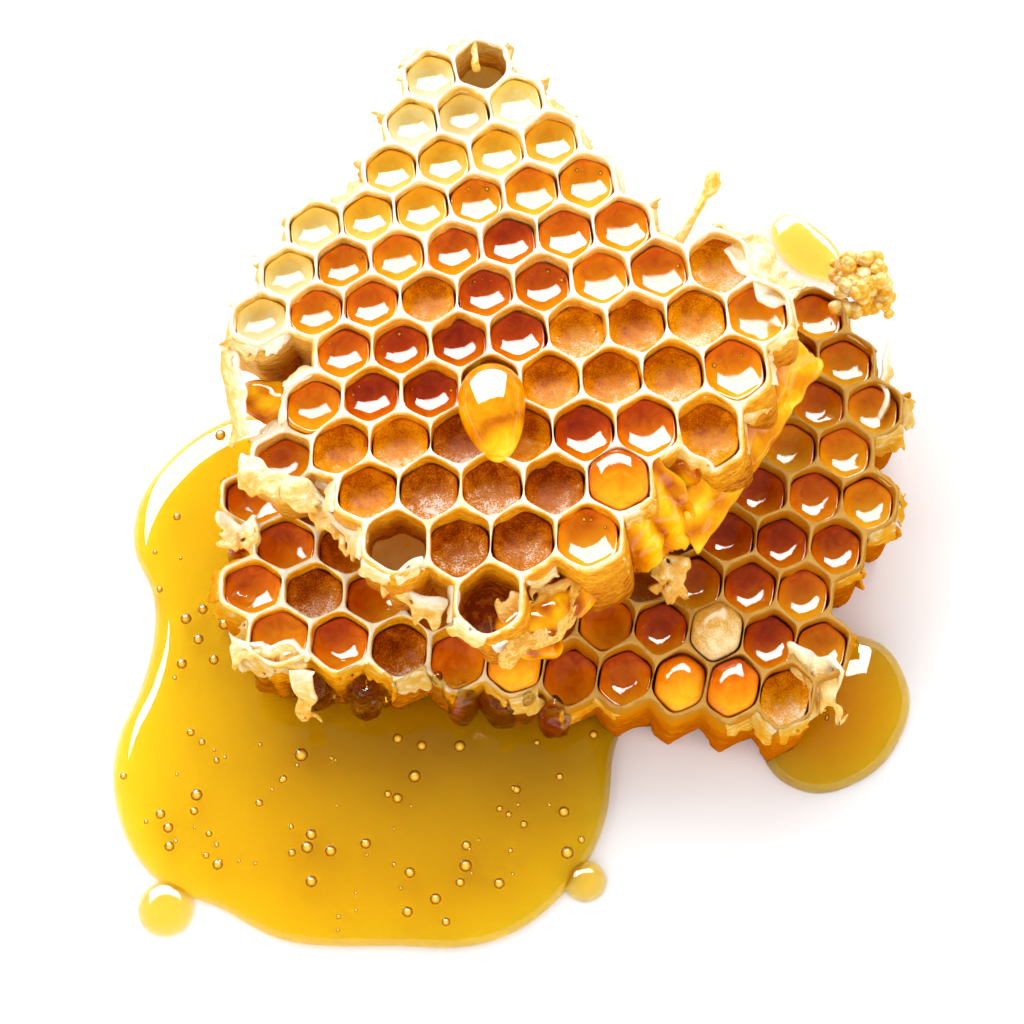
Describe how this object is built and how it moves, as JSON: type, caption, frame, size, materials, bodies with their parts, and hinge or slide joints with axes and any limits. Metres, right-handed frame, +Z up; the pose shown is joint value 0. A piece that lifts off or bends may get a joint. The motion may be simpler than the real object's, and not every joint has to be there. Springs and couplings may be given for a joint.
{
  "type": "honeycomb piece",
  "caption": "Broken chunk of honeycomb in two stacked layers of six-sided wax cells filled with honey, standing in a small pool of honey.",
  "frame": {"origin": "middle of the footprint's bounding box, on the surface that the piece lies on", "axes": "+Z up out of the surface, +Y away from the viewer of the picture, along the longest side, +X to the viewer's right"},
  "size_m": [0.074, 0.0828, 0.0246],
  "materials": {
    "upper_wax": "satin",
    "upper_honey": "glossy",
    "lower_wax": "satin",
    "lower_honey": "glossy",
    "honey_pool": "glossy",
    "honey_drop": "glossy",
    "pale_drop": "glossy"
  },
  "bodies": {
    "root": {"upper_wax": "upper_wax", "upper_honey": "upper_honey", "lower_wax": "lower_wax", "lower_honey": "lower_honey", "honey_pool": "honey_pool", "right_drop": "honey_drop", "far_drop": "pale_drop"}
  },
  "joints": []
}
